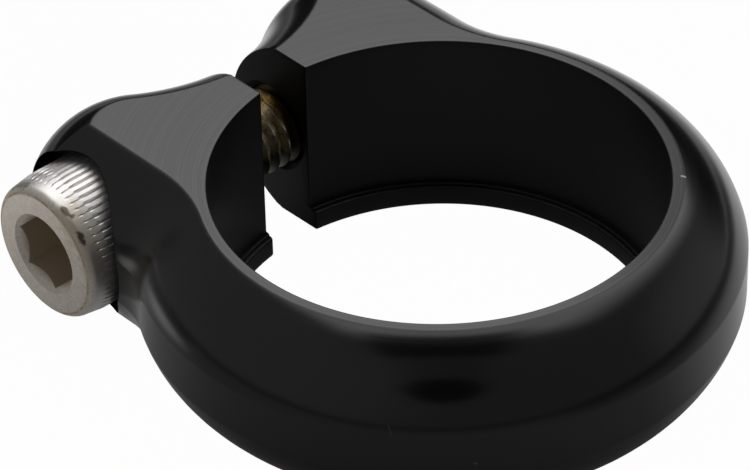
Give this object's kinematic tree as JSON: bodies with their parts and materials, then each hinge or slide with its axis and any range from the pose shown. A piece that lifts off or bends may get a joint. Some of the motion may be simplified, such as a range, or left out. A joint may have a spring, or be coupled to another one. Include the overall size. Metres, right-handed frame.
{
  "type": "seatpost clamp",
  "caption": "Split collar with crowned sides and two ears, closed by a socket-head cap screw to grip a bicycle's seat tube round its seatpost.",
  "frame": {"origin": "on the axis of the bore that grips the seat tube, at the collar's mid-height", "axes": "+Z along the bore, away from the lip at its lower end; +Y out through the slot between the ears; +X along the screw from its head to its tip"},
  "size_m": [0.0424, 0.0482, 0.0142],
  "materials": {
    "black_anodised_aluminium": "black anodised, satin on the flat faces and polished on the crown",
    "stainless_steel": "plain stainless steel, knurled head, greased thread"
  },
  "bodies": {
    "collar": {"clamp_collar": "black_anodised_aluminium"},
    "screw": {"clamp_screw": "stainless_steel"}
  },
  "joints": [
    {"name": "screw_turn", "type": "hinge", "parent": "collar", "child": "screw", "pos_m": [0, 0.0197, 0], "axis": [1, 0, 0], "range_deg": [0, 720]}
  ]
}
